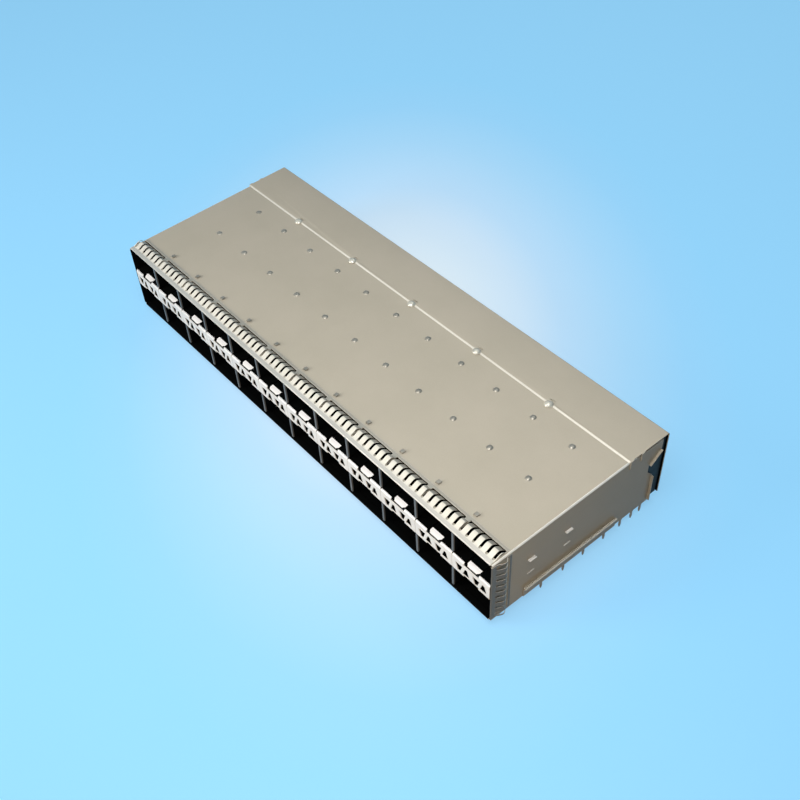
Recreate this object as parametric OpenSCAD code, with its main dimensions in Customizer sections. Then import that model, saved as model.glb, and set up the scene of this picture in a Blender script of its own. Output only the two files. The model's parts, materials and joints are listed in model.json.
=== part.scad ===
// Stacked two-row cage for pluggable optical modules: a folded sheet shell,
// upright dividers, belly separators with latch tongues and light pipes,
// black receptacle connectors at the back and spring gaskets round the front.
// Millimetres. X runs along the row of ports, Y from the front to the back,
// Z up from the circuit board that the cage is pressed into.

/* [Ports] */
// Number of port columns side by side
columns = 12; // [4:2:12]
// Distance between the centres of neighbouring columns
port_pitch = 14.25; // [14.1:0.05:16]
// Clear height of one port
port_height = 8.8; // [8.7:0.05:10]
// Height of the belly between the upper and the lower row
belly_height = 6; // [5.6:0.1:9]

/* [Cage] */
// Depth from the front lip to the back of the rear cover
cage_depth = 64; // [62:0.5:72]
// Thickness of the shell, divider and cover sheets
sheet = 0.25; // [0.2:0.01:0.3]
// Outer bend radius along the long top edges
bend_radius = 0.6; // [0.5:0.05:1]
// Clearance between sheets that slide together
slip = 0.02; // [0.01:0.01:0.05]
// Distance from the side walls' rear edge to the back of the rear cover
rear_setback = 4.4; // [4:0.1:6]
// Length of the rear cover's top, from its front edge to the back
cover_length = 15.5; // [14:0.5:18]
// How far the shell's top reaches under the rear cover
cover_overlap = 3; // [2.6:0.1:4]
// Length of the coined slope along the rear cover's front edge
cover_slope = 0.5; // [0.3:0.05:0.8]

/* [Rear bite] */
// Distance of the bite's upper end from the top of the cage
bite_drop = 4.2; // [3.6:0.1:5]
// How far the bite reaches before and behind the side walls' rear edge
bite_reach = 2.2; // [1.6:0.1:2.6]
// Height of the bite's slanted edge
bite_slant = 3.8; // [3:0.1:4.6]
// Height of the bite's upright edge
bite_waist = 2.8; // [2:0.1:3.6]
// Height of the edge that leads back to the rear edge
bite_return = 2.4; // [1.6:0.1:3.2]
// How far the lips along the rear edges stand out of the walls
rear_lip = 0.7; // [0.4:0.05:0.9]

/* [Board pins] */
// Length of a press-fit pin below the board face
pin_length = 3; // [2.4:0.1:4]
// Width of a press-fit pin at its shoulder
pin_width = 1.1; // [0.9:0.05:1.3]
// Distance of each front row of pins from the front
front_pin_rows = [18.6, 26.9, 34.6, 42.6];
// Distance of each rear row of pins from the side walls' rear edge
rear_pin_rows = [10.6, 6.1, 2.6];

/* [Spring gaskets] */
// Thickness of the gasket spring sheet
gasket_sheet = 0.15; // [0.1:0.01:0.18]
// Depth of the plain rail between the lip and the fingers
gasket_rail = 1.3; // [1.2:0.1:1.6]
// Distance of the gasket's rear edge from the front
gasket_depth = 6.7; // [6.6:0.1:7.4]
// How far the fingers stand out from the shell
finger_rise = 0.95; // [0.6:0.05:1.2]
// Fingers and land in each port column
fingers_per_port = 6; // [5:1:7]
// Gap between two fingers
finger_gap = 0.78; // [0.5:0.02:0.9]
// Fingers and land along each side wall
side_fingers = 9; // [8:1:10]
// Distance of the side gaskets' ends from the top and bottom of the cage
side_gasket_inset = 0.7; // [0.7:0.05:1]
// Width of the land at each end of a side gasket
side_land = 0.5; // [0.4:0.05:0.7]
// Length of the windows behind the fingers' tips
tip_window = 1.9; // [1.2:0.05:1.9]
// Width of the rail behind the windows
rear_rail = 0.75; // [0.5:0.05:0.9]

/* [Divider clips] */
// Thickness of a clip's sheet
clip_sheet = 0.22; // [0.1:0.01:0.25]
// Length of a clip along each face of its divider
clip_length = 3; // [2:0.1:5]
// Distance of a clip's ends from the floor and the roof of its port
clip_margin = 0.6; // [0.5:0.05:1]

/* [Belly separators] */
// Distance from the separators' rear edges to the connector housings
separator_gap = 1.3; // [1:0.1:4]
// Outer bend radius at the separator's front
separator_bend = 0.5; // [0.4:0.05:0.8]
// Width of a latch tongue
tongue_width = 4.5; // [3.8:0.1:5]
// Width of the slot that frees a latch tongue
tongue_slot = 5.4; // [5.2:0.1:6]
// Length of a latch tongue
tongue_length = 15; // [12:0.5:18]
// Length of the sloping tip of a latch tongue
tip_length = 1.65; // [1.2:0.05:2.2]
// How far the tip of a latch tongue drops into the belly
tip_drop = 0.3; // [0.2:0.05:0.5]
// Depth of the notch in the separator's front under a latch tongue
notch_depth = 1; // [0.8:0.05:1.2]
// How far the notch reaches behind the tip of a latch tongue
notch_run = 0.6; // [0.4:0.05:0.8]
// Width of a latch tongue's three-cornered hole
latch_hole = 3; // [2.4:0.1:3.4]
// Distance of the latch hole from the front
latch_hole_place = 8.6; // [8:0.1:10]
// Distance of each pair of side tabs from the front
tab_rows = [13.9, 27.1];
// Width of a side tab
tab_width = 2.4; // [1.6:0.1:3]
// How far the end separators' upper tabs stand out of the side walls
tab_reach = 0.75; // [0.4:0.05:1]
// How far the end separators' lower tabs stand out of the side walls
low_tab_reach = 0.2; // [0.1:0.05:1]

/* [Light pipes] */
// Distance of each window pair from the column's centre
pipe_pair_offset = 3.15; // [3:0.05:3.3]
// Distance of each window from the middle of its pair
pipe_offset = 1.35; // [1.3:0.02:1.5]
// Width of a three-cornered window
window_width = 2.5; // [2:0.05:2.55]
// Height of a three-cornered window
window_height = 2.7; // [2:0.05:2.8]
// Half the width of a window's blunted point
window_blunt = 0.35; // [0.1:0.05:0.5]
// Clearance between a light pipe and its window
pipe_clearance = 0.12; // [0.08:0.01:0.2]
// Distance from the separator's front to the light pipes' ends
pipe_recess = 1.2; // [0.6:0.1:2]

// Thickness of the bar that joins the light pipes of a column
carrier_thickness = 1.2; // [0.8:0.1:2]
// Distance from the bar to the rear ends of the light pipes
carrier_setback = 6; // [4:0.5:10]

/* [Stakes and latches] */
// Distance of each row of round stakes from the rear cover's front edge
stake_setbacks = [22.5, 6.5];
// Diameter of a round stake head
stake_diameter = 1.9; // [1.4:0.1:2.4]
// Height of the stake heads over the top
stake_height = 0.42; // [0.3:0.02:0.6]
// Distance of the row of folded tabs from the front
front_stake_row = 8.1; // [7.9:0.1:9]
// Length of a folded tab across the top
folded_tab = 1.1; // [0.8:0.1:1.6]
// Height of a folded tab's underside over the top
fold_height = 0.35; // [0.1:0.05:0.5]
// Width of a divider's tab inside a stake
stake_tab = 1.2; // [0.8:0.1:1.4]
// Diameter of a latch dome on the rear cover
latch_dome = 2.5; // [2:0.1:2.8]
// Height of a latch dome
latch_dome_height = 0.72; // [0.5:0.02:0.9]
// Ports between two latch domes
latch_every = 2; // [2:2:4]
// Width of the tongue's rim round a latch dome
latch_rim = 0.15; // [0.1:0.01:0.3]
// Width of the window behind a latch dome
latch_window_width = 1.7; // [1.2:0.1:2.4]
// Length of the window behind a latch dome
latch_window_length = 0.5; // [0.3:0.05:0.8]
// Width of the tabs that hold the rear cover to the side walls
side_tab_width = 1.2; // [0.8:0.1:1.8]
// Height of those tabs
side_tab_height = 3; // [2:0.1:3.6]
// Distance of the middle of each side tab from the rear cover's front edge
side_tab_places = [1, 5.2];

/* [Base] */
// How far the base plate reaches under the connector housings
base_reach = 1.5; // [0.5:0.1:1.6]
// How much higher than the seating face the base plate lies over the bottom gasket
seat_relief = 0.05; // [0.03:0.01:0.08]
// Space round a front locating peg at the base plate's rear edge
peg_clearance = 1.2; // [1.1:0.05:1.4]
// Distance of the base plate's upright flanges from the front
flange_start = 11.7; // [11:0.1:13]
// Height of the upright flanges
flange_height = 3; // [2:0.1:3.4]
// How far the flanges' upper lips flare out
flange_flare = 0.7; // [0.4:0.05:0.9]

/* [Connectors] */
// Clearance between a connector housing and the dividers beside it
housing_clearance = 0.3; // [0.2:0.05:0.6]
// Distance from the housings' front faces to the back of the rear cover
housing_setback = 19.2; // [18:0.1:19.2]
// Reach of a receptacle nose in front of the housing
nose_reach = 4; // [3:0.1:4.4]
// Width of a receptacle nose
nose_width = 11.6; // [11:0.1:12.4]
// Height of a receptacle nose
nose_height = 5.2; // [4.8:0.1:5.6]
// Distance of a card slot's middle from the port's belly side
card_height = 3.9; // [3.6:0.1:4.2]
// Width of a card slot
card_width = 9.6; // [9.4:0.1:9.8]
// Height of a card slot
card_slot = 1.9; // [1.7:0.05:2.1]
// Contacts on each side of a card slot
contacts = 10; // [8:1:10]
// Distance between neighbouring contacts
contact_pitch = 0.8; // [0.75:0.01:0.85]
// Distance from a receptacle nose's front to its contacts
contact_recess = 0.8; // [0.4:0.1:1.2]
// Depth of a card slot
card_depth = 6; // [5:0.1:6.4]
// Thickness of a contact across the row
contact_width = 0.34; // [0.25:0.01:0.4]
// Height of a contact strip
contact_height = 0.4; // [0.3:0.02:0.5]
// Length of a contact tail below the board face
tail_length = 2.5; // [2:0.1:2.8]
// Distance of each row of tails from the back of the rear cover
tail_setbacks = [13.6, 10.4, 7.2, 4];
// Diameter of a locating peg
peg_diameter = 1.3; // [1.2:0.1:1.8]
// Length of a locating peg below the board face
peg_length = 1.8; // [1.2:0.1:2]
// Distance of the front pegs from the housing's front face
front_peg_inset = 2.5; // [2:0.1:3]
// Distance of the rear pegs from the housing's back
rear_peg_inset = 1.35; // [1.2:0.05:1.6]
// Space between the housings and the rear cover
housing_gap = 0.3; // [0.2:0.05:0.5]

/* [Hidden] */
column_list = [1:columns];
divider_list = [1:columns - 1];

steel = [0.72, 0.70, 0.64];
dark_steel = [0.48, 0.45, 0.38];
spring_steel = [0.93, 0.90, 0.84];
black_plastic = [0.05, 0.05, 0.05];
clear_plastic = [0.35, 0.37, 0.38];
contact_gold = [0.85, 0.70, 0.35];

// overshoot of a cutter past the face that it cuts
cut = 1;
// Heights above the board face
cage_height = 2 * sheet + 2 * port_height + belly_height;
belly_floor = sheet + port_height;
belly_top = belly_floor + belly_height;
belly_middle = belly_floor + belly_height / 2;
// Widths, with the side walls centred half a pitch past the last columns
row_width = columns * port_pitch;
cage_width = row_width + sheet;
inner_width = row_width - sheet;
// The lip wraps round the shell's front edge in a half circle
shell_front = gasket_sheet + sheet / 2;
divider_front = shell_front + sheet + slip;
side_back = cage_depth - rear_setback;
seam = cage_depth - cover_length;
shell_back = seam + cover_overlap;
pin_rows = concat(front_pin_rows, [for (d = rear_pin_rows) side_back - d]);
stake_rows = [for (d = stake_setbacks) seam - d];
// The connector housings stand at the back, and the separators and the base reach towards them
housing_width = port_pitch - sheet - 2 * housing_clearance;
housing_front = cage_depth - housing_setback;
tail_rows = [for (d = tail_setbacks) cage_depth - d];
separator_depth = housing_front - separator_gap;
base_depth = housing_front + base_reach;
// The origin is in the middle of the base plate's length, on its seating face
seat_depth = (shell_front + base_depth) / 2;
// Lowest and highest edges of a divider: it stands between the base and the top
divider_low = sheet + slip;
divider_high = cage_height - sheet - slip;
// The gaskets' inner legs, and the room that the dividers leave for them
hem_reach = 0.6;
hem_clearance = 0.4;
hem_length = gasket_rail + hem_reach;
hem_room = hem_length + hem_clearance;
hem_height = gasket_sheet + 3 * slip;

function column_x(i) = (i - (columns + 1) / 2) * port_pitch;
function divider_x(i) = (i - columns / 2) * port_pitch;
function arc(r, from, to, steps, at = [0, 0]) =
    [for (k = [0:steps]) let (a = from + (to - from) * k / steps) at + r * [cos(a), sin(a)]];
// Unit normal of an open path at point k
function path_normal(path, k) =
    let (
        before = path[max(k - 1, 0)],
        after = path[min(k + 1, len(path) - 1)],
        along = after - before
    )
    [-along[1], along[0]] / norm(along);
// Closed outline of a sheet that follows an open path
function sheet_outline(path, thick) = concat(
    [for (k = [0:len(path) - 1]) path[k] + path_normal(path, k) * thick / 2],
    [for (k = [len(path) - 1:-1:0]) path[k] - path_normal(path, k) * thick / 2]
);

// Everything is drawn from the front lip and set down with the base plate's middle at the origin
module place() {
    translate([0, -seat_depth, 0])
        children();
}

// Extrudes an outline drawn in depth and height, centred across x
module across(width) {
    rotate([90, 0, 90])
        translate([0, 0, -width / 2])
            linear_extrude(width)
                children();
}

// Extrudes an outline drawn in x and height, from one depth to another
module along_depth(from, to) {
    translate([0, to, 0])
        rotate([90, 0, 0])
            linear_extrude(to - from)
                children();
}

// ---- Press-fit pins ----

// One flat press-fit pin hanging from height top, drawn in depth and height
module pin_outline(top) {
    shoulder = [pin_width / 2, -0.2];
    neck = [0.28 * pin_width, -0.5];
    eye_top = [0.36 * pin_width, -0.38 * pin_length];
    eye_foot = [0.36 * pin_width, -0.66 * pin_length];
    waist = [0.28 * pin_width, -0.8 * pin_length];
    point = [0.14 * pin_width, -pin_length];
    right = [[shoulder[0], top], shoulder, neck, eye_top, eye_foot, waist, point];
    left = [for (k = [len(right) - 1:-1:0]) [-right[k][0], right[k][1]]];
    polygon(concat(right, left));
}

// A row of pins along one sheet
module pin_row(top) {
    for (y = pin_rows)
        across(sheet)
            translate([y, 0])
                pin_outline(top);
}

// The slots that pins need in the base plate
module pin_slots() {
    for (y = pin_rows)
        if (y < base_depth + pin_width)
            translate([0, y, 0])
                cube([sheet + 4 * slip, pin_width + 4 * slip, 4 * sheet], center = true);
}

// ---- Front shell ----

// Folded top and side walls, drawn in x and height
module shell_profile() {
    half = cage_width / 2;
    inner = bend_radius - sheet;
    polygon(concat(
        [[half, 0]],
        arc(bend_radius, 0, 90, 6, [half - bend_radius, cage_height - bend_radius]),
        arc(bend_radius, 90, 180, 6, [bend_radius - half, cage_height - bend_radius]),
        [[-half, 0], [sheet - half, 0]],
        arc(inner, 180, 90, 6, [bend_radius - half, cage_height - bend_radius]),
        arc(inner, 90, 0, 6, [half - bend_radius, cage_height - bend_radius]),
        [[half - sheet, 0]]
    ));
}

// Heights of the corners of the bite out of a side wall's rear edge, from the top down
bite_corners = [
    cage_height - bite_drop,
    cage_height - bite_drop - bite_slant,
    cage_height - bite_drop - bite_slant - bite_waist,
    cage_height - bite_drop - bite_slant - bite_waist - bite_return
];
bite_front = side_back - bite_reach;
bite_back = side_back + bite_reach;
module rear_bite() {
    across(cage_width + 2 * cut)
        polygon([
            [bite_back, bite_corners[0]], [bite_front, bite_corners[1]], [bite_front, bite_corners[2]],
            [side_back, bite_corners[3]], [side_back, -cut], [cage_depth + cut, -cut],
            [cage_depth + cut, cage_height - bend_radius], [bite_back, cage_height - bend_radius]
        ]);
}

// Flared lips along the rear edge of one side wall: each starts inside the wall's thickness,
// a slip in front of its edge
module rear_lips(side) {
    width = rear_lip + sheet / 2;
    slant = [bite_back - bite_front, bite_slant];
    translate([side * (cage_width + rear_lip - sheet / 2) / 2 - width / 2, 0, 0]) {
        translate([0, bite_front, bite_corners[1]])
            rotate([atan2(slant[1], slant[0]), 0, 0])
                translate([0, sheet, slip])
                    cube([width, norm(slant) - 2 * sheet, sheet]);
        translate([0, side_back - sheet - slip, 2 * sheet])
            cube([width, sheet, bite_corners[3] - 3 * sheet]);
    }
}

module divider_slots(y, length) {
    for (i = divider_list)
        translate([divider_x(i), y, cage_height])
            cube([sheet + 2 * slip, length + 2 * slip, 4 * sheet], center = true);
}

module front_shell() {
    color(steel) {
        difference() {
            along_depth(shell_front, bite_back)
                shell_profile();
            // the top stops under the rear cover
            translate([-cage_width / 2 - cut, shell_back, cage_height - bend_radius])
                cube([cage_width + 2 * cut, cage_depth, 2 * bend_radius]);
            rear_bite();
            // the base plate's flanged stretch passes under the walls
            translate([-cage_width / 2 - cut, flange_start - slip, -cut])
                cube([cage_width + 2 * cut, base_depth - flange_start + 2 * slip, cut + sheet + slip]);
            for (y = stake_rows)
                divider_slots(y, stake_tab);
            divider_slots(front_stake_row, stake_tab);
            top_finger_windows();
            // openings for the end separators' tabs
            for (y = tab_rows, z = [belly_floor + sheet / 2, belly_top - sheet / 2])
                translate([0, y, z])
                    cube([cage_width + 2 * cut, tab_width + 4 * slip, sheet + 4 * slip], center = true);
        }
        for (side = [-1, 1]) {
            rear_lips(side);
            translate([side * row_width / 2, 0, 0])
                pin_row(2 * sheet);
        }
    }
}

// ---- Rear cover ----

cover_bottom = cage_height + slip;
cover_top = cover_bottom + sheet;

// Dome with a flat underside, standing on height z
module dome(diameter, height, z) {
    r = (pow(diameter / 2, 2) + pow(height, 2)) / (2 * height);
    translate([0, 0, z])
        intersection() {
            translate([0, 0, height - r])
                sphere(r, $fn = 48);
            translate([0, 0, height / 2])
                cylinder(h = height, d = 2 * diameter, center = true, $fn = 48);
        }
}

latch_list = [latch_every:latch_every:columns - 1];

module rear_cover() {
    tongue_reach = latch_dome / 2 + latch_rim;
    bend = [cage_depth - bend_radius, cover_top - bend_radius];
    tab_place = cage_width / 2 + slip + sheet / 2;
    color(steel)
        union() {
            difference() {
                union() {
                    // top and back wall in one fold, drawn in depth and height
                    across(cage_width)
                        polygon(concat(
                            [[seam, cover_bottom], [seam, cover_bottom + slip]],
                            [[seam + cover_slope, cover_top]],
                            arc(bend_radius, 90, 0, 6, bend),
                            [[cage_depth, sheet], [cage_depth - sheet, sheet]],
                            arc(bend_radius - sheet, 0, 90, 6, bend)
                        ));
                    // latch tongues that reach over the shell's top
                    for (i = latch_list)
                        translate([divider_x(i), seam, cover_bottom])
                            cylinder(h = sheet, r = tongue_reach, $fn = 48);
                }
                // a window behind each tongue
                for (i = latch_list)
                    translate([divider_x(i), seam + tongue_reach + latch_window_length / 2, cover_bottom])
                        cube([latch_window_width, latch_window_length, 4 * sheet], center = true);
            }
            for (i = latch_list)
                translate([divider_x(i), seam, 0])
                    dome(latch_dome, latch_dome_height, cover_top);
            // side tabs that hold the cover to the side walls, and their roots over the bends
            for (side = [-1, 1], y = side_tab_places) {
                translate([side * tab_place, seam + y, cover_top - side_tab_height / 2])
                    cube([sheet, side_tab_width, side_tab_height], center = true);
                translate([side * cage_width / 2, seam + y, cover_top - sheet / 2])
                    cube([2 * (sheet + slip), side_tab_width, sheet], center = true);
            }
            // pins along the foot of the back wall, between the columns
            for (i = divider_list)
                translate([divider_x(i), cage_depth - sheet / 2, 0])
                    rotate([0, 0, 90])
                        across(sheet)
                            pin_outline(2 * sheet);
        }
}

// ---- Base plate ----

module base_plate() {
    wall = cage_width / 2 + slip;
    flat = flange_height + 2 * sheet;
    color(dark_steel)
        difference() {
            union() {
                translate([-inner_width / 2 + slip, shell_front, 0])
                    cube([inner_width - 2 * slip, base_depth - shell_front, sheet]);
                // the flanged stretch: under the walls, up outside them and flared at the lip
                along_depth(flange_start, base_depth)
                    polygon([
                        [-wall - sheet, 0], [wall + sheet, 0], [wall + sheet, flange_height],
                        [wall + sheet + flange_flare, flat], [wall + flange_flare, flat + sheet],
                        [wall, flange_height + sheet], [wall, sheet], [-wall, sheet],
                        [-wall, flange_height + sheet], [-wall - flange_flare, flat + sheet],
                        [-wall - sheet - flange_flare, flat], [-wall - sheet, flange_height]
                    ]);
            }
            for (i = [0:columns])
                translate([divider_x(i), 0, 0])
                    pin_slots();
            // the front stretch clears the board and the bottom gasket
            translate([-inner_width / 2, 0, -cut])
                cube([inner_width, gasket_depth + hem_clearance, cut + seat_relief]);
            for (i = column_list)
                translate([column_x(i), housing_front + front_peg_inset, 0])
                    cylinder(h = 4 * sheet, d = peg_diameter + 2 * peg_clearance, center = true, $fn = 48);
        }
}

// ---- Spring gaskets ----

// Centre line of the gasket sheet in depth and height over the shell's face:
// an inner leg, a half circle round the edge, the rail, a bowed finger and the rear rail
finger_steps = 10;
finger_bow = 1.6;
finger_start = gasket_rail;
finger_end = gasket_depth - rear_rail - 0.8;
lip_radius = (sheet + gasket_sheet) / 2 + slip;
lip_centre = [lip_radius + gasket_sheet / 2, -sheet / 2];
gasket_path = concat(
    [[hem_length, lip_centre[1] - lip_radius]],
    arc(lip_radius, 270, 90, 6, lip_centre),
    [for (t = [0:1 / finger_steps:1.001]) [
        finger_start + (finger_end - finger_start) * t,
        lip_centre[1] + lip_radius + finger_rise * sin(180 * pow(t, finger_bow))
    ]],
    [[gasket_depth, lip_centre[1] + lip_radius]]
);
finger_pitch = port_pitch / fingers_per_port;
window_back = gasket_depth - rear_rail;
window_front = window_back - tip_window;
slot_front = gasket_rail + 0.1;
// The shell's windows under the fingers start behind the gaskets' inner legs
under_front = hem_length + 0.3;

// Slots of one group: each runs from the rail to the window behind the tips,
// and the outermost slots are wider by end_gap
module finger_slots(count, pitch, end_gap) {
    half = finger_gap / 2;
    edge = [for (k = [0:count - 1])
        let (
            left = (k + 0.5) * pitch - half - (k == 0 ? end_gap : 0),
            right = (k + 0.5) * pitch + half + (k == count - 1 ? end_gap : 0)
        )
        concat(
            [[left, window_front]],
            arc(half, 180, 240, 1, [left + half, slot_front + half]),
            arc(half, 300, 360, 1, [right - half, slot_front + half]),
            [[right, window_front]]
        )
    ];
    polygon(concat(
        [for (run = edge, p = run) p],
        [[(count - 0.5) * pitch + half + end_gap, window_back], [0.5 * pitch - half - end_gap, window_back]]
    ));
}

// A gasket strip along x, drawn on a face at height 0 that looks up
module gasket_strip(groups, count, pitch, end_margin, end_gap) {
    length = groups * count * pitch;
    difference() {
        across(length + 2 * end_margin)
            polygon(sheet_outline(gasket_path, gasket_sheet));
        for (g = [0:groups - 1])
            translate([g * count * pitch - length / 2, 0, -sheet / 2])
                linear_extrude(finger_rise + 4 * sheet)
                    finger_slots(count, pitch, end_gap);
    }
}

end_margin = -(bend_radius + 0.05 - sheet / 2);
side_pitch = (cage_height - 2 * side_gasket_inset - 2 * side_land) / side_fingers;
side_end_gap = (side_pitch - finger_gap) / 2;

// Cutters for the windows in the shell that the top fingers spring into
module top_finger_windows() {
    width = port_pitch - finger_pitch + finger_gap;
    for (i = column_list)
        translate([column_x(i), (under_front + window_back) / 2, cage_height])
            cube([width, window_back - under_front, 4 * sheet], center = true);
}

module gasket_top() {
    color(spring_steel)
        translate([0, 0, cage_height])
            gasket_strip(columns, fingers_per_port, finger_pitch, end_margin, 0);
}

module gasket_bottom() {
    color(spring_steel)
        mirror([0, 0, 1])
            gasket_strip(columns, fingers_per_port, finger_pitch, end_margin, 0);
}

module gasket_side(side) {
    color(spring_steel)
        translate([side * cage_width / 2, 0, cage_height / 2])
            rotate([0, side * 90, 0])
                gasket_strip(1, side_fingers, side_pitch, side_land, side_end_gap);
}

// Thin spring clips round the front edges of the dividers, one in each row of ports
module divider_clips() {
    inner = sheet / 2 + slip;
    outer = inner + clip_sheet;
    front = divider_front - slip - clip_sheet;
    back = front + clip_length;
    color(spring_steel)
        for (i = divider_list, low = [sheet, belly_top])
            translate([divider_x(i), 0, low + clip_margin])
                linear_extrude(port_height - 2 * clip_margin)
                    polygon([
                        [-outer, front], [outer, front], [outer, back], [inner, back],
                        [inner, front + clip_sheet], [-inner, front + clip_sheet],
                        [-inner, back], [-outer, back]
                    ]);
}

// ---- Dividers ----

// A stake's head spreads to one side of its divider
stake_lean = 0.55;

// Tab in the front row: it comes up through the top and folds over to one side
module folded_tab_end() {
    foot = cage_height + slip;
    under = foot + fold_height;
    half = sheet / 2;
    translate([0, front_stake_row, 0])
        rotate([90, 0, 0])
            linear_extrude(stake_tab, center = true)
                polygon([
                    [-half, foot - sheet], [half, foot - sheet], [half, under], [folded_tab, under],
                    [folded_tab, under + sheet], [half, under + sheet], [-half, under + half]
                ]);
}

module divider(i) {
    color(dark_steel)
        translate([divider_x(i), 0, 0]) {
            difference() {
                across(sheet)
                    polygon([
                        [divider_front, divider_low + hem_height], [hem_room, divider_low + hem_height],
                        [hem_room, divider_low], [side_back, divider_low], [side_back, divider_high],
                        [hem_room, divider_high], [hem_room, divider_high - hem_height],
                        [divider_front, divider_high - hem_height]
                    ]);
                for (y = tab_rows, z = [belly_floor + sheet / 2, belly_top - sheet / 2])
                    translate([0, y, z])
                        cube([4 * sheet, tab_width + 4 * slip, sheet + 4 * slip], center = true);
            }
            pin_row(divider_low + sheet);
            // tabs through the top, with spread heads
            for (y = concat([front_stake_row], stake_rows))
                translate([0, y, cage_height - sheet / 2])
                    cube([sheet, stake_tab, 3 * sheet + 2 * slip], center = true);
            for (y = stake_rows)
                translate([stake_lean, y, 0])
                    dome(stake_diameter, stake_height, cage_height + slip);
            folded_tab_end();
        }
}

// ---- Belly separators ----

plate_width = port_pitch - sheet - 4 * slip;
tongue_front = 0.3;
tip_corner = 0.9;
// The windows sit a little under the middle of the belly
window_drop = 0.5;

// Three-cornered outline with its blunt point up or down, grown evenly on all sides
module window_outline(point, grow) {
    lean = (window_width / 2 - window_blunt) / window_height;
    side = grow * norm([1, lean]);
    base = window_width / 2 + side + grow * lean;
    tip = window_blunt + side - grow * lean;
    h = window_height / 2 + grow;
    polygon([[-base, -point * h], [base, -point * h], [tip, point * h], [-tip, point * h]]);
}

// Places the four windows of a column: point down then point up, in two pairs
module window_places(grow) {
    for (pair = [-1, 1], half = [-1, 1])
        translate([pair * pipe_pair_offset + half * pipe_offset, belly_middle - window_drop])
            window_outline(half, grow);
}

// One latch tongue with its sloping tip, at the upper plate, drawn in depth and height
module latch_tongue() {
    top = belly_top;
    difference() {
        across(tongue_width)
            polygon([
                [tongue_front, top - tip_drop], [tongue_front + tip_length, top],
                [tongue_front + tongue_length, top], [tongue_front + tongue_length, top - sheet],
                [tongue_front + tip_length, top - sheet], [tongue_front, top - tip_drop - sheet]
            ]);
        translate([0, latch_hole_place, top - 2 * sheet])
            linear_extrude(4 * sheet)
                polygon([[-latch_hole / 2, latch_hole / 2], [latch_hole / 2, latch_hole / 2],
                    [0, -latch_hole / 2]]);
        // rounded corners at the tip
        for (side = [-1, 1])
            translate([side * tongue_width / 2, tongue_front, top - tip_drop - sheet])
                rotate([0, 0, 45])
                    cube([tip_corner, tip_corner, 6 * sheet], center = true);
    }
}

module tongue_opening() {
    translate([-tongue_slot / 2, -cut, belly_top - notch_depth])
        cube([tongue_slot, tongue_front + cut + notch_run, notch_depth + cut]);
    translate([-tongue_slot / 2, 0, belly_top - 2 * sheet])
        cube([tongue_slot, tongue_front + tongue_length, 4 * sheet]);
}

// Mirrors its children about the middle of the belly as well
module both_plates() {
    children();
    translate([0, 0, 2 * belly_middle])
        mirror([0, 0, 1])
            children();
}

function at_side_wall(i, side) = (side < 0 && i == 1) || (side > 0 && i == columns);
// An end column's outer tabs stand out of the side wall; the others stop inside the divider
function tab_end(i, side, reach) =
    at_side_wall(i, side) ? port_pitch / 2 + sheet / 2 + reach : port_pitch / 2 - 2 * slip;
// The front face reaches over the divider's edge, and stops at a side gasket's inner leg
side_hem_room = gasket_sheet + 5 * slip;
function face_end(i, side) =
    port_pitch / 2 - (at_side_wall(i, side) ? sheet / 2 + side_hem_room : 2 * slip);

// A tab from inside a plate's edge out to x = end
module side_tab_strip(side, y, z, end) {
    root = plate_width / 2 - 2 * slip;
    translate([side * (root + end) / 2, y, z])
        cube([end - root, tab_width, sheet], center = true);
}

module separator(i) {
    r = separator_bend;
    inner = r - sheet;
    color(spring_steel)
        translate([column_x(i), 0, 0]) {
            difference() {
                union() {
                    // two plates and a front, folded from one sheet
                    across(plate_width)
                        polygon(concat(
                            [[separator_depth, belly_top]],
                            arc(r, 90, 180, 6, [r, belly_top - r]),
                            arc(r, 180, 270, 6, [r, belly_floor + r]),
                            [[separator_depth, belly_floor], [separator_depth, belly_floor + sheet]],
                            arc(inner, 270, 180, 6, [r, belly_floor + r]),
                            arc(inner, 180, 90, 6, [r, belly_top - r]),
                            [[separator_depth, belly_top - sheet]]
                        ));
                    translate([-face_end(i, -1), 0, belly_floor + r])
                        cube([face_end(i, -1) + face_end(i, 1), sheet, belly_height - 2 * r]);
                }
                both_plates()
                    tongue_opening();
                along_depth(-cut, 2 * r)
                    window_places(0);
                // room for the side gaskets' inner legs
                for (side = [-1, 1])
                    if (at_side_wall(i, side))
                        translate([side * (port_pitch - sheet) / 2, 0, belly_middle])
                            cube([2 * side_hem_room, 2 * hem_room, 2 * belly_height], center = true);
            }
            both_plates()
                latch_tongue();
            for (side = [-1, 1], y = tab_rows) {
                side_tab_strip(side, y, belly_top - sheet / 2, tab_end(i, side, tab_reach));
                side_tab_strip(side, y, belly_floor + sheet / 2, tab_end(i, side, low_tab_reach));
            }
        }
}

// ---- Light pipes ----

module light_pipes(i) {
    carrier = separator_depth - carrier_setback;
    carrier_width = plate_width - 0.8;
    color(clear_plastic)
        translate([column_x(i), 0, 0])
            union() {
                along_depth(pipe_recess, separator_depth)
                    window_places(-pipe_clearance);
                translate([-carrier_width / 2, carrier, belly_floor + sheet])
                    cube([carrier_width, carrier_thickness, belly_height - 2 * sheet]);
            }
}

// ---- Connectors ----

housing_back = cage_depth - sheet - housing_gap;
upper_card = belly_top + card_height;
lower_card = belly_floor - card_height;
nose_front = housing_front - nose_reach;
contact_front = nose_front + contact_recess;
housing_low = sheet + slip;
housing_height = divider_high - slip - housing_low;
// Height of a contact strip's middle over or under the card slot's middle
contact_offset = card_slot / 2 - contact_height / 2;

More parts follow.
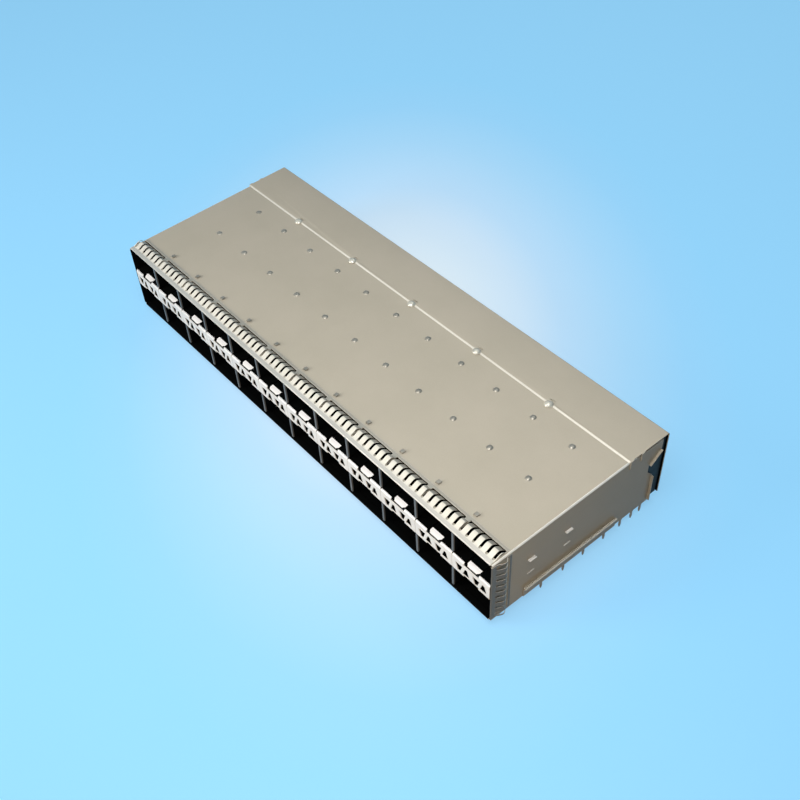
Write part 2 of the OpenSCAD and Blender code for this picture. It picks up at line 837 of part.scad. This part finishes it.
// One contact: a strip along the card slot's wall, then down to its tail
module contact_outline(z, tail_y, grow, foot) {
    h = contact_height / 2 + grow;
    polygon([
        [contact_front - grow, z - h], [tail_y - h, z - h], [tail_y - h, foot],
        [tail_y + h, foot], [tail_y + h, z + h], [contact_front - grow, z + h]
    ]);
}

// The contacts of one port: a row over the card slot and a row under it
module port_contacts(card, rows) {
    for (k = [0:contacts - 1])
        translate([(k - (contacts - 1) / 2) * contact_pitch, 0, 0]) {
            across(contact_width)
                contact_outline(card + contact_offset, rows[1], 0, -tail_length);
            across(contact_width)
                contact_outline(card - contact_offset, rows[0], 0, -tail_length);
        }
}

// The bays in the housing that hold a port's two rows of contacts
module contact_bays(card, rows) {
    width = (contacts - 1) * contact_pitch + contact_width + 2 * slip;
    across(width)
        contact_outline(card + contact_offset, rows[1], slip, -cut);
    across(width)
        contact_outline(card - contact_offset, rows[0], slip, -cut);
}

module connector(i) {
    color(black_plastic)
        translate([column_x(i), 0, 0])
            difference() {
                union() {
                    translate([-housing_width / 2, housing_front, housing_low])
                        cube([housing_width, housing_back - housing_front, housing_height]);
                    for (card = [lower_card, upper_card])
                        translate([-nose_width / 2, nose_front, card - nose_height / 2])
                            cube([nose_width, nose_reach + cut, nose_height]);
                    for (y = [housing_front + front_peg_inset, housing_back - rear_peg_inset])
                        translate([0, y, -peg_length])
                            cylinder(h = peg_length + housing_low + cut, d = peg_diameter, $fn = 48);
                }
                for (card = [lower_card, upper_card])
                    translate([-card_width / 2, nose_front - cut, card - card_slot / 2])
                        cube([card_width, cut + card_depth, card_slot]);
                contact_bays(upper_card, [tail_rows[2], tail_rows[3]]);
                contact_bays(lower_card, [tail_rows[0], tail_rows[1]]);
            }
}

module upper_contacts() {
    color(contact_gold)
        for (i = column_list)
            translate([column_x(i), 0, 0])
                port_contacts(upper_card, [tail_rows[2], tail_rows[3]]);
}

module lower_contacts() {
    color(contact_gold)
        for (i = column_list)
            translate([column_x(i), 0, 0])
                port_contacts(lower_card, [tail_rows[0], tail_rows[1]]);
}

// ---- The parts ----

place() front_shell();
place() rear_cover();
place() base_plate();
place() gasket_top();
place() gasket_bottom();
place() gasket_side(-1);  // gasket_left
place() gasket_side(1);  // gasket_right
place() divider_clips();
for (i = divider_list)
    place() divider(i);
for (i = column_list)
    place() separator(i);
for (i = column_list)
    place() light_pipes(i);
for (i = column_list)
    place() connector(i);
place() upper_contacts();
place() lower_contacts();
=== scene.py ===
"""Stacked two-row module cage: finishes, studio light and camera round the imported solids."""
import json
import math

import bpy
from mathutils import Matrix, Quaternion, Vector

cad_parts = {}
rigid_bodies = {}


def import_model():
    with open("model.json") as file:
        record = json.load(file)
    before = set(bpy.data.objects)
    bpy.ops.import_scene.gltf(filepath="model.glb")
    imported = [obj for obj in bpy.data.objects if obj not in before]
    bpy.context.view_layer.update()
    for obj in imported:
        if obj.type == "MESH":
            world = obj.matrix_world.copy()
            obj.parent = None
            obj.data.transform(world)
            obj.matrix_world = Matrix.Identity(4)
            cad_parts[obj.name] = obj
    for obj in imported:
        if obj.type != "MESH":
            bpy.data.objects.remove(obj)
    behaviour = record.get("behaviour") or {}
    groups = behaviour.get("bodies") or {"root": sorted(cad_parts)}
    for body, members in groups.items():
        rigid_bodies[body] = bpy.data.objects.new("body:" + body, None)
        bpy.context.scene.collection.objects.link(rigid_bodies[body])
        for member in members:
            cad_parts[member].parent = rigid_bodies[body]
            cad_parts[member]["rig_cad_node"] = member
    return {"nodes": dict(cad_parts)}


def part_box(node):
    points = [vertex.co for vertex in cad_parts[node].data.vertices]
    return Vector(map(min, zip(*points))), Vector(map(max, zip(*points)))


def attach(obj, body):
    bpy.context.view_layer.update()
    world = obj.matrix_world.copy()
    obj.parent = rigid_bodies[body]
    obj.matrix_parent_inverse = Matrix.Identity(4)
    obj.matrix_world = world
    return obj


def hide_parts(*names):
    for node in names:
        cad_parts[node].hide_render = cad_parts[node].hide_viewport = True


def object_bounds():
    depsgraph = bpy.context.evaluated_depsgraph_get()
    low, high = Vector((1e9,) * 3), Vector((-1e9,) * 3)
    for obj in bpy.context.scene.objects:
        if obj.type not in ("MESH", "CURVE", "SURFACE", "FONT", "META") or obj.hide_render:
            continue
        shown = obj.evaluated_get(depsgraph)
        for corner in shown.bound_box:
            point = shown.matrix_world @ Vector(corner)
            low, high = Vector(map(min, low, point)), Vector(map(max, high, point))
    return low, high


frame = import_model()
CAD_LOW, CAD_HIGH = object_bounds()

MM = 0.001

# ---- Camera ----

CAMERA_PLACE = Vector((191.15, -130.23, 237.48)) * MM
CAMERA_AZIMUTH = 56.386
CAMERA_ELEVATION = 48.337
CAMERA_ROLL = -6.73
CAMERA_LENS = 48.17
CAMERA_SHIFT = (0.0630, 0.0623)
CAMERA_NEAREST = 5 * MM


def direction(azimuth, elevation):
    """Degrees: azimuth 0 is in front of the ports, and 90 to the right."""
    azimuth, elevation = math.radians(azimuth), math.radians(elevation)
    return Vector((
        math.sin(azimuth) * math.cos(elevation),
        -math.cos(azimuth) * math.cos(elevation),
        math.sin(elevation),
    ))


def add_camera():
    back = direction(CAMERA_AZIMUTH, CAMERA_ELEVATION)
    turn = back.to_track_quat("Z", "Y") @ Quaternion((0, 0, 1), math.radians(CAMERA_ROLL))
    bpy.ops.object.camera_add(location=CAMERA_PLACE, rotation=turn.to_euler())
    camera = bpy.context.object
    camera.name = "studio_camera"
    camera.data.lens = CAMERA_LENS
    camera.data.shift_x, camera.data.shift_y = CAMERA_SHIFT
    camera.data.clip_start = CAMERA_NEAREST
    bpy.context.scene.camera = camera


add_camera()

# ---- Node helpers ----


def new_finish(name):
    """A material with its node tree, links and shader."""
    finish = bpy.data.materials.new(name)
    finish.use_nodes = True
    tree = finish.node_tree
    return finish, tree, tree.nodes["Principled BSDF"]


def noise(tree, scale, stretch=(1, 1, 1), detail=3.0, roughness=0.5):
    """Noise on Object coordinates. A stretch below 1 draws it out along that axis."""
    place = tree.nodes.new("ShaderNodeTexCoord")
    mapping = tree.nodes.new("ShaderNodeMapping")
    mapping.inputs["Scale"].default_value = stretch
    pattern = tree.nodes.new("ShaderNodeTexNoise")
    pattern.inputs["Scale"].default_value = scale
    pattern.inputs["Detail"].default_value = detail
    pattern.inputs["Roughness"].default_value = roughness
    tree.links.new(place.outputs["Object"], mapping.inputs["Vector"])
    tree.links.new(mapping.outputs["Vector"], pattern.inputs["Vector"])
    return pattern.outputs["Fac"]


def colour_between(tree, factor, stops):
    """A colour ramp over factor: stops are (place, (r, g, b))."""
    ramp = tree.nodes.new("ShaderNodeValToRGB")
    elements = ramp.color_ramp.elements
    while len(elements) < len(stops):
        elements.new(0.5)
    for element, (place, colour) in zip(elements, stops):
        element.position = place
        element.color = (*colour, 1)
    tree.links.new(factor, ramp.inputs["Fac"])
    return ramp.outputs["Color"]


def dark_to_light(tree, factor, dark, light):
    """The middle of a noise goes from the dark colour to the light one."""
    return colour_between(tree, factor, [(0.35, dark), (0.65, light)])


def spread(tree, factor, low, high, from_low=0.3, from_high=0.7):
    """Factor's own range, which is the middle of a noise unless given, goes onto low to high."""
    node = tree.nodes.new("ShaderNodeMapRange")
    node.inputs["From Min"].default_value = from_low
    node.inputs["From Max"].default_value = from_high
    node.inputs["To Min"].default_value = low
    node.inputs["To Max"].default_value = high
    tree.links.new(factor, node.inputs["Value"])
    return node.outputs["Result"]


def bump(tree, height, depth):
    """A normal that follows height, with its relief depth in metres."""
    node = tree.nodes.new("ShaderNodeBump")
    node.inputs["Distance"].default_value = depth
    tree.links.new(height, node.inputs["Height"])
    return node.outputs["Normal"]


def arithmetic(tree, operation, first, second):
    """The operation's result on two sockets."""
    node = tree.nodes.new("ShaderNodeMath")
    node.operation = operation
    tree.links.new(first, node.inputs[0])
    tree.links.new(second, node.inputs[1])
    return node.outputs[0]


def between(tree, value, low, high, soft):
    """1 where value lies between low and high, falling off over soft on both sides."""
    rise = spread(tree, value, 0, 1, low - soft, low)
    fall = spread(tree, value, 1, 0, high, high + soft)
    return arithmetic(tree, "MULTIPLY", rise, fall)


def blended(tree, share, first, second):
    """The colour first where share is 0 and second where it is 1. Each is a colour or a socket."""
    node = tree.nodes.new("ShaderNodeMix")
    node.data_type = "RGBA"
    tree.links.new(share, node.inputs["Factor"])
    for socket, colour in ((node.inputs["A"], first), (node.inputs["B"], second)):
        if isinstance(colour, bpy.types.NodeSocket):
            tree.links.new(colour, socket)
        else:
            socket.default_value = (*colour, 1)
    return node.outputs["Result"]


def is_seen(tree):
    """1 for a ray that shows what it meets: a camera, glossy or transmission ray."""
    path = tree.nodes.new("ShaderNodeLightPath").outputs
    mirrored = arithmetic(tree, "MAXIMUM", path["Is Glossy Ray"], path["Is Transmission Ray"])
    return arithmetic(tree, "MAXIMUM", path["Is Camera Ray"], mirrored)


# ---- Places read from the frame ----

COLUMNS = sum(name.startswith("separator_") for name in frame["nodes"])
PORT_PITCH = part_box("divider_2")[0].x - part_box("divider_1")[0].x
SIDE_WALL = COLUMNS * PORT_PITCH / 2    # the middle of the side walls' sheet
FRONT = CAD_LOW.y
BACK = CAD_HIGH.y
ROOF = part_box("divider_clips")[1].z     # where the dividers' clips end, just under the top
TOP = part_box("front_shell")[1].z
OVER_TOP = TOP + 0.3 * MM               # over both sheets of the roof, where only domes reach
BELLY_MIDDLE = (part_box("separator_1")[0].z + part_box("separator_1")[1].z) / 2

# ---- Finishes ----

BACK_WALL = BACK - 0.15 * MM            # within the back wall's sheet
FLOOR_SHEET = 0.2 * MM                  # within the base plate's sheet
SHEET_FADE = 0.05 * MM
DEPTH_FADE = 0.1 * MM
# The black painted inside the ports is painted shade, standing in for the dark there.
PAINTED_SHADE_BLACK = (0.006, 0.006, 0.0055)
SPECKLE_SHARE = 0.3
PLATING_SHEEN = 0.15
PLATING_UNEVEN = 0.025
PLASTIC_UNEVEN = 0.06
ROLLING_GRAIN = 0.0012 * MM
MOULD_TEXTURE = 0.006 * MM


def painted_port_shade(tree, depth):
    """1 on what lies inside the shell, deeper than depth behind the front lip, as far as the
    back wall's inner face: where the inside of the ports is painted black as painted shade."""
    place = tree.nodes.new("ShaderNodeTexCoord")
    split = tree.nodes.new("ShaderNodeSeparateXYZ")
    tree.links.new(place.outputs["Object"], split.inputs["Vector"])
    across = between(tree, split.outputs["X"], -SIDE_WALL, SIDE_WALL, SHEET_FADE)
    along = between(tree, split.outputs["Y"], FRONT + depth, BACK_WALL, DEPTH_FADE)
    upright = between(tree, split.outputs["Z"], FLOOR_SHEET, ROOF, SHEET_FADE)
    return arithmetic(tree, "MULTIPLY", arithmetic(tree, "MULTIPLY", across, along), upright)


def plated_sheet(name, dark, light, metallic, roughness, painted_shade_from=None):
    """Rolled and plated sheet: blotchy tone, a fine speckle and a rolling grain along the row
    of ports. Deeper than the given depth inside the cage it is painted black and matt: painted
    shade."""
    finish, tree, shader = new_finish(name)
    tone = tree.nodes.new("ShaderNodeMix")
    tone.inputs["Factor"].default_value = SPECKLE_SHARE
    tree.links.new(noise(tree, scale=45, detail=4, roughness=0.6), tone.inputs["A"])
    tree.links.new(noise(tree, scale=3200, detail=1), tone.inputs["B"])
    colour = dark_to_light(tree, tone.outputs["Result"], dark, light)
    streak = noise(tree, scale=900, stretch=(0.04, 1, 1), detail=2)
    gloss = spread(tree, streak, roughness - PLATING_UNEVEN, roughness + PLATING_UNEVEN)
    shader.inputs["Metallic"].default_value = metallic
    shader.inputs["Specular IOR Level"].default_value = PLATING_SHEEN
    # Painted shade: the inside of the ports is painted black, matt and without sheen.
    if painted_shade_from is not None:
        inside = painted_port_shade(tree, painted_shade_from)
        colour = blended(tree, inside, colour, PAINTED_SHADE_BLACK)
        gloss = arithmetic(tree, "MAXIMUM", gloss, inside)
        tree.links.new(spread(tree, inside, metallic, 1, 0, 1), shader.inputs["Metallic"])
    tree.links.new(colour, shader.inputs["Base Color"])
    tree.links.new(gloss, shader.inputs["Roughness"])
    tree.links.new(bump(tree, streak, ROLLING_GRAIN), shader.inputs["Normal"])
    return finish


def moulded_plastic(name, dark, light, roughness, sheen):
    """Moulded plastic with a slight mottle and a fine texture from the mould."""
    finish, tree, shader = new_finish(name)
    mottle = noise(tree, scale=300, detail=4)
    colour = dark_to_light(tree, mottle, dark, light)
    gloss = spread(tree, mottle, roughness - PLASTIC_UNEVEN, roughness + PLASTIC_UNEVEN)
    texture = noise(tree, scale=2500, detail=2)
    shader.inputs["Specular IOR Level"].default_value = sheen
    tree.links.new(colour, shader.inputs["Base Color"])
    tree.links.new(gloss, shader.inputs["Roughness"])
    tree.links.new(bump(tree, texture, MOULD_TEXTURE), shader.inputs["Normal"])
    return finish


SHELL = plated_sheet(
    "shell_plating", (0.38, 0.355, 0.29), (0.41, 0.38, 0.315),
    metallic=0.06, roughness=0.4, painted_shade_from=0.3 * MM,
)
INNER = plated_sheet(
    "inner_plating", (0.38, 0.355, 0.29), (0.41, 0.38, 0.315),
    metallic=0.06, roughness=0.4, painted_shade_from=0.1 * MM,
)
# A paler copy of the plating: painted highlight on the seam slope, the flared lips and the top
# fingers' crowns.
PAINTED_HIGHLIGHT = plated_sheet(
    "bend_painted_highlight", (0.60, 0.57, 0.50), (0.68, 0.65, 0.57),
    metallic=0.2, roughness=0.36,
)
# Pale bends: a painted highlight along the bends between the roof and the side walls.
LONG_BEND_HIGHLIGHT = plated_sheet(
    "long_bend_painted_highlight", (0.78, 0.74, 0.66), (0.84, 0.80, 0.72),
    metallic=0.25, roughness=0.3,
)
# Darker than the sheet it is cut from: painted shade on the stake heads.
STAKE_SHADE = plated_sheet(
    "staked_head_painted_shade", (0.24, 0.22, 0.18), (0.30, 0.275, 0.23),
    metallic=0.45, roughness=0.3,
)
# Paler than the rear cover's sheet: a painted highlight on the seam domes.
DOME_HIGHLIGHT = plated_sheet(
    "seam_dome_painted_highlight", (0.48, 0.45, 0.38), (0.54, 0.51, 0.43),
    metallic=0.35, roughness=0.26,
)
BARE_EDGE = plated_sheet(
    "bare_edge", (0.60, 0.57, 0.50), (0.66, 0.63, 0.56),
    metallic=0.2, roughness=0.36, painted_shade_from=0.5 * MM,
)
GASKET = plated_sheet(
    "gasket_plating", (0.50, 0.465, 0.40), (0.58, 0.54, 0.48),
    metallic=0.4, roughness=0.34, painted_shade_from=0.2 * MM,
)
# The side and bottom gaskets: a darker copy of the gasket plating, painted shade; all of it inside
# the cage is painted black.
SHADED_GASKET = plated_sheet(
    "gasket_painted_shade", (0.14, 0.128, 0.108), (0.20, 0.185, 0.16),
    metallic=0.2, roughness=0.36, painted_shade_from=-0.5 * MM,
)
# The fingers' drawn-on curls, painted darker: painted shade.
FINGER_TIP_SHADE = plated_sheet(
    "finger_tip_painted_shade", (0.31, 0.29, 0.245), (0.37, 0.35, 0.30),
    metallic=0.3, roughness=0.4,
)
SEPARATOR = plated_sheet(
    "separator_plating", (0.78, 0.77, 0.75), (0.85, 0.84, 0.82),
    metallic=0.2, roughness=0.36, painted_shade_from=0.35 * MM,
)
# Near-white tongue tips: a painted highlight.
TONGUE_TIP_HIGHLIGHT = plated_sheet(
    "tongue_tip_painted_highlight", (0.93, 0.93, 0.93), (0.95, 0.95, 0.95),
    metallic=0.1, roughness=0.3,
)
CLIP = plated_sheet(
    "clip_plating", (0.12, 0.12, 0.12), (0.15, 0.15, 0.15),
    metallic=0.3, roughness=0.36, painted_shade_from=0.8 * MM,
)
CONTACT = plated_sheet(
    "contact_plating", (0.70, 0.52, 0.22), (0.80, 0.62, 0.30),
    metallic=0.9, roughness=0.3,
)
HOUSING = moulded_plastic(
    "black_housing", (0.006, 0.006, 0.006), (0.011, 0.011, 0.011),
    roughness=0.5, sheen=0.15,
)
LIGHT_PIPE = moulded_plastic(
    "light_pipe", (0.01, 0.011, 0.012), (0.02, 0.022, 0.024),
    roughness=0.2, sheen=0.5,
)


def finish_for(node_name):
    """The finish of the first start that the node's name has. Other nodes are shell."""
    for start, finish in (
        ("divider_clips", CLIP), ("divider", INNER), ("base", INNER),
        # The side and bottom gaskets take the darker copy: painted shade.
        ("gasket_top", GASKET), ("gasket", SHADED_GASKET),
        ("separator", SEPARATOR), ("light_pipes", LIGHT_PIPE), ("connector", HOUSING),
        ("upper_contacts", CONTACT), ("lower_contacts", CONTACT),
    ):
        if node_name.startswith(start):
            return finish
    return SHELL


def finish_nodes():
    for node_name, node in frame["nodes"].items():
        node.data.materials.clear()
        node.data.materials.append(finish_for(node_name))


finish_nodes()

# ---- Sheet pieces ----

SHARPEST_BEND = math.radians(35)
LEAST_CORNER = math.radians(0.5)
SAME_POINT = 0.001 * MM
WIDE_BREAK = 0.06 * MM
MIDDLE_BREAK = 0.05 * MM
FINE_BREAK = 0.04 * MM

# Parts of a unit normal along an axis, from a face that leans a little that way to one that
# faces it.
LEANS_A_LITTLE = 0.1
LEANS = 0.15
LEANS_FAR = 0.3
HALF_FACES = 0.5
FACES = 0.9


def only(piece):
    """Selects this piece alone and makes it active."""
    bpy.ops.object.select_all(action="DESELECT")
    piece.select_set(True)
    bpy.context.view_layer.objects.active = piece


def merged_copy(node_name):
    """A copy of a node's mesh with its loose triangles joined into whole faces."""
    only(frame["nodes"][node_name])
    bpy.ops.object.duplicate()
    piece = bpy.context.object
    bpy.ops.object.parent_clear(type="CLEAR_KEEP_TRANSFORM")
    del piece["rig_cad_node"]
    piece.name = piece.data.name = f"{node_name}_sheet"
    bpy.ops.object.mode_set(mode="EDIT")
    bpy.ops.mesh.select_mode(type="FACE")
    bpy.ops.mesh.select_all(action="SELECT")
    bpy.ops.mesh.remove_doubles(threshold=SAME_POINT)
    bpy.ops.mesh.dissolve_limited(angle_limit=LEAST_CORNER)
    bpy.ops.mesh.select_all(action="DESELECT")
    bpy.ops.object.mode_set(mode="OBJECT")
    return piece


def paint_faces(piece, finish, chosen):
    """The faces for which chosen(centre, normal) holds take a finish of their own."""
    piece.data.materials.append(finish)
    for face in piece.data.polygons:
        if chosen(face.center, face.normal):
            face.material_index = len(piece.data.materials) - 1


def break_edges(piece, width):
    """Rounds a sheet's cut edges a little, leaves them bare and smooths the bends."""
    only(piece)
    piece.data.materials.append(BARE_EDGE)
    bpy.ops.object.shade_smooth_by_angle(angle=SHARPEST_BEND)
    bevel = piece.modifiers.new("broken_edges", "BEVEL")
    bevel.width = width
    bevel.segments = 2
    bevel.limit_method = "ANGLE"
    bevel.angle_limit = SHARPEST_BEND
    bevel.use_clamp_overlap = True
    bevel.harden_normals = True
    bevel.material = len(piece.data.materials) - 1
    bpy.ops.object.modifier_apply(modifier=bevel.name)


def new_sheet(node_name):
    """A merged copy that wears its node's finish all over."""
    piece = merged_copy(node_name)
    piece.data.materials.clear()
    piece.data.materials.append(finish_for(node_name))
    return piece


def settle(piece, node_name):
    """The piece rides on the cage and stands for its node."""
    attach(piece, "root")
    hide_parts(node_name)


def on_long_bend(centre, normal):
    """The bends between the roof and the side walls, which are painted pale as a painted
    highlight.
    """
    at_side = abs(centre.x) > SIDE_WALL - MM
    return at_side and abs(normal.x) > LEANS and normal.z > LEANS_FAR


def add_front_shell():
    piece = new_sheet("front_shell")
    paint_faces(piece, LONG_BEND_HIGHLIGHT, on_long_bend)
    break_edges(piece, WIDE_BREAK)
    settle(piece, "front_shell")


def on_seam_slope(centre, normal):
    """The sloping front edge of the rear cover's top."""
    slopes_forward = normal.y < -LEANS and normal.z > LEANS and abs(normal.x) < LEANS_A_LITTLE
    return slopes_forward and centre.z < OVER_TOP


def add_rear_cover():
    """Its front edge is coined to a slope, which is painted pale as a painted highlight, and domes
    stand along it, painted paler as a painted highlight too.
    """
    piece = new_sheet("rear_cover")
    paint_faces(piece, PAINTED_HIGHLIGHT, on_seam_slope)
    paint_faces(piece, LONG_BEND_HIGHLIGHT, on_long_bend)
    # Painted highlight on the domes.
    paint_faces(piece, DOME_HIGHLIGHT, lambda centre, normal: centre.z > OVER_TOP)
    break_edges(piece, WIDE_BREAK)
    settle(piece, "rear_cover")


def on_flared_lip(centre, normal):
    outside = abs(centre.x) > SIDE_WALL + 0.3 * MM
    return outside and abs(normal.x) > LEANS_FAR and normal.z > LEANS_FAR


def add_base_plate():
    """The flanges' flared lips, which lie outside the walls, are painted pale as a painted
    highlight.
    """
    piece = new_sheet("base_plate")
    paint_faces(piece, PAINTED_HIGHLIGHT, on_flared_lip)
    break_edges(piece, WIDE_BREAK)
    settle(piece, "base_plate")


CREST_DEPTH = 0.3 * MM
FRONT_LIP = 1.3 * MM
TOP_CURL = [(0.5, 0.22), (0.5, 0.4), (0.5, 0.45), (0.25, 0.35)]
SIDE_CURL = [(0.5, 0.22), (0.5, 0.45)]


def add_gasket(node_name, outward, curl):
    """The fingers' cut ends are drawn on in steps, each so many millimetres back and in towards
    the shell, and these curls are painted darker as painted shade. The top gasket's fingers are
    painted pale from its front lip to their cut ends, a painted highlight."""
    piece = new_sheet(node_name)
    crown = max(corner.co.dot(outward) for corner in piece.data.vertices)
    cut_end = FRONT
    for face in piece.data.polygons:
        face.select = face.normal.y > FACES and face.center.dot(outward) > crown - CREST_DEPTH
        if face.select:
            cut_end = face.center.y
    only(piece)
    bpy.ops.object.mode_set(mode="EDIT")
    for back, inward in curl:
        step = Vector((0, back * MM, 0)) - outward * inward * MM
        bpy.ops.mesh.extrude_region_move(TRANSFORM_OT_translate={"value": step})
    bpy.ops.mesh.select_all(action="DESELECT")
    bpy.ops.object.mode_set(mode="OBJECT")
    curl_end = cut_end + sum(back for back, inward in curl) * MM
    if node_name == "gasket_top":
        # Painted highlight on the top fingers' crowns.
        paint_faces(piece, PAINTED_HIGHLIGHT, lambda centre, normal: (
            FRONT + FRONT_LIP < centre.y < cut_end and normal.dot(outward) > HALF_FACES
        ))
    # Painted shade on the curls.
    paint_faces(piece, FINGER_TIP_SHADE, lambda centre, normal: cut_end < centre.y <= curl_end)
    break_edges(piece, FINE_BREAK)
    settle(piece, node_name)


TONGUE_TIP_END = FRONT + 1.95 * MM


def on_tongue_tip(centre, normal):
    """The outer side of a latch tongue's sloping tip, which faces away from the belly."""
    slopes = LEANS_A_LITTLE < abs(normal.y) < LEANS_FAR
    height = centre.z - BELLY_MIDDLE
    return centre.y < TONGUE_TIP_END and slopes and normal.z * height > FACES * abs(height)


def add_separator(i):
    node_name = f"separator_{i}"
    piece = new_sheet(node_name)
    # Painted highlight on the tongue tips.
    paint_faces(piece, TONGUE_TIP_HIGHLIGHT, on_tongue_tip)
    break_edges(piece, MIDDLE_BREAK)
    settle(piece, node_name)


def add_divider(i):
    """The heads of its stakes stand over the top, and are painted darker as painted shade."""
    node_name = f"divider_{i}"
    piece = new_sheet(node_name)
    paint_faces(piece, STAKE_SHADE, lambda centre, normal: centre.z > TOP)
    break_edges(piece, FINE_BREAK)
    settle(piece, node_name)


def add_sheets():
    add_front_shell()
    add_rear_cover()
    add_base_plate()
    add_gasket("gasket_top", Vector((0, 0, 1)), TOP_CURL)
    add_gasket("gasket_bottom", Vector((0, 0, -1)), SIDE_CURL)
    add_gasket("gasket_left", Vector((-1, 0, 0)), SIDE_CURL)
    add_gasket("gasket_right", Vector((1, 0, 0)), SIDE_CURL)
    for i in range(1, COLUMNS + 1):
        add_separator(i)
    for i in range(1, COLUMNS):
        add_divider(i)


add_sheets()

# ---- Studio ----

FLOOR_SIZE = 4
GLOW_MIDDLE = (-0.018, 0.034, 0)
GLOW_SIZE = (0.161, 0.107, 1)
GLOW_TURN = math.radians(140)
GLOW_SHARE = 0.78
FLOOR_TONE = 0.28
FLOOR_BOUNCE = (0.30, 0.24, 0.16)
FAR_BLUE = (0.296, 0.665, 0.98)
LAMP_WHITE = (1, 0.97, 0.93)
FILL_WARM = (1, 0.66, 0.36)
SKY_LIGHT = 0.03


def floor_glow(tree):
    """A white glow round the object that goes blue towards the floor's far parts."""
    place = tree.nodes.new("ShaderNodeTexCoord")
    centred = tree.nodes.new("ShaderNodeMapping")
    centred.vector_type = "TEXTURE"
    centred.inputs["Location"].default_value = GLOW_MIDDLE
    centred.inputs["Rotation"].default_value = (0, 0, GLOW_TURN)
    centred.inputs["Scale"].default_value = GLOW_SIZE
    length = tree.nodes.new("ShaderNodeVectorMath")
    length.operation = "LENGTH"
    tree.links.new(place.outputs["Object"], centred.inputs["Vector"])
    tree.links.new(centred.outputs["Vector"], length.inputs[0])
    return colour_between(tree, length.outputs["Value"], [
        (0.2, (0.72, 0.86, 0.96)), (0.38, (0.60, 0.79, 0.96)), (0.5, (0.48, 0.73, 0.96)),
        (0.68, (0.38, 0.69, 0.96)), (0.85, (0.315, 0.665, 0.97)), (1, FAR_BLUE),
    ])


def add_floor():
    """A wide pale floor. The rays that show it see its blue, partly as its own light, so that the
    glow stays even and the shadow soft. The others meet a dim warm floor."""
    bpy.ops.mesh.primitive_plane_add(size=FLOOR_SIZE, location=(0, 0, CAD_LOW.z))
    floor = bpy.context.object
    floor.name = "studio_floor"
    finish, tree, shader = new_finish("pale_floor")
    glow = floor_glow(tree)
    seen = is_seen(tree)
    dimmed = tree.nodes.new("ShaderNodeMix")
    dimmed.data_type = "RGBA"
    dimmed.inputs["Factor"].default_value = 1 - FLOOR_TONE
    dimmed.inputs["B"].default_value = (0, 0, 0, 1)
    tree.links.new(glow, dimmed.inputs["A"])
    colour = blended(tree, seen, FLOOR_BOUNCE, dimmed.outputs["Result"])
    tree.links.new(colour, shader.inputs["Base Color"])
    shader.inputs["Roughness"].default_value = 1.0
    shader.inputs["Specular IOR Level"].default_value = 0.0
    tree.links.new(glow, shader.inputs["Emission Color"])
    tree.links.new(spread(tree, seen, 0, GLOW_SHARE, 0, 1), shader.inputs["Emission Strength"])
    floor.data.materials.append(finish)


def add_sky():
    """The rays that show it see the floor's far blue. The others get a faint white."""
    world = bpy.data.worlds.new("studio_world")
    bpy.context.scene.world = world
    world.use_nodes = True
    tree = world.node_tree
    sky = tree.nodes["Background"]
    seen = is_seen(tree)
    tree.links.new(blended(tree, seen, LAMP_WHITE, FAR_BLUE), sky.inputs["Color"])
    tree.links.new(spread(tree, seen, SKY_LIGHT, GLOW_SHARE, 0, 1), sky.inputs["Strength"])


def add_lamp(name, azimuth, elevation, distance, size, power, colour=LAMP_WHITE):
    """A round lamp that faces the origin."""
    back = direction(azimuth, elevation)
    turn = back.to_track_quat("Z", "Y")
    bpy.ops.object.light_add(type="AREA", location=back * distance, rotation=turn.to_euler())
    lamp = bpy.context.object
    lamp.name = name
    lamp.data.shape = "DISK"
    lamp.data.size = size
    lamp.data.energy = power
    lamp.data.color = colour
    lamp.visible_camera = False


def add_lamps():
    """The key lamp lights the ports. The corner lamp is near, so that the top pales towards the
    near right corner. The rim and back lamps stand behind, and the low side fill is warm."""
    add_lamp("key_lamp", azimuth=-25, elevation=28, distance=0.45, size=0.2, power=1.35)
    add_lamp("left_lamp", azimuth=-70, elevation=45, distance=1.2, size=0.45, power=0.4)
    add_lamp("top_lamp", azimuth=20, elevation=60, distance=0.4, size=0.25, power=0.24)
    add_lamp("rim_lamp", azimuth=164, elevation=58, distance=0.6, size=0.25, power=0.4)
    add_lamp("corner_lamp", azimuth=50, elevation=64, distance=0.26, size=0.16, power=0.45)
    add_lamp("back_lamp", azimuth=-150, elevation=60, distance=0.5, size=0.25, power=0.22)
    add_lamp(
        "side_fill", azimuth=52, elevation=12, distance=0.2, size=0.1, power=0.055,
        colour=FILL_WARM,
    )


def add_studio():
    add_floor()
    add_lamps()
    add_sky()
    bpy.context.scene.view_settings.view_transform = "Standard"


add_studio()
